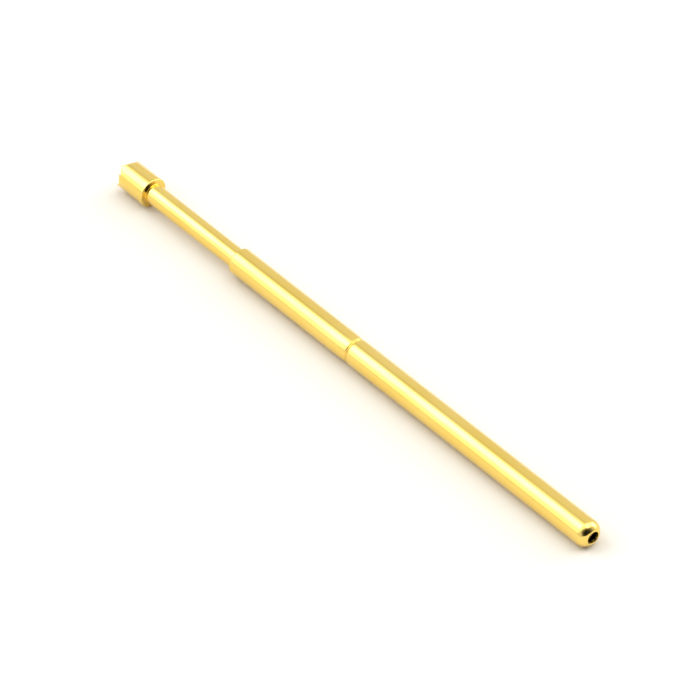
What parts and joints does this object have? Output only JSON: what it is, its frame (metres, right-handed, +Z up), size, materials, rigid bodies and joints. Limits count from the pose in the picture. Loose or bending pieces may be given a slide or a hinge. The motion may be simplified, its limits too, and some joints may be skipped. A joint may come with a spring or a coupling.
{
  "type": "pogo pin",
  "caption": "Spring-loaded contact pin: a serrated head on a shaft that slides into a crimped barrel with a rounded, vented tail.",
  "frame": {"origin": "on the pin's axis, in the plane of the barrel's mouth", "axes": "+X along the pin from the mouth towards the serrated head, +Z up, with the pin lying level"},
  "size_m": [0.0333, 0.0014, 0.0014],
  "materials": {
    "gold_plate": "polished",
    "plunger_gold": "polished",
    "spring_wire": "satin"
  },
  "bodies": {
    "barrel": {"barrel": "gold_plate"},
    "spring": {"spring": "spring_wire"},
    "plunger": {"plunger": "plunger_gold"}
  },
  "joints": [
    {"name": "plunger_turn", "type": "hinge", "parent": "barrel", "child": "spring", "pos_m": [0, 0, 0], "axis": [1, 0, 0], "continuous": true},
    {"name": "plunger_slide", "type": "slide", "parent": "spring", "child": "plunger", "axis": [-1, 0, 0], "range_m": [0, 0.00635], "stiffness_N_per_m": 297, "springref_m": -0.00165, "deforming": ["spring"]}
  ]
}
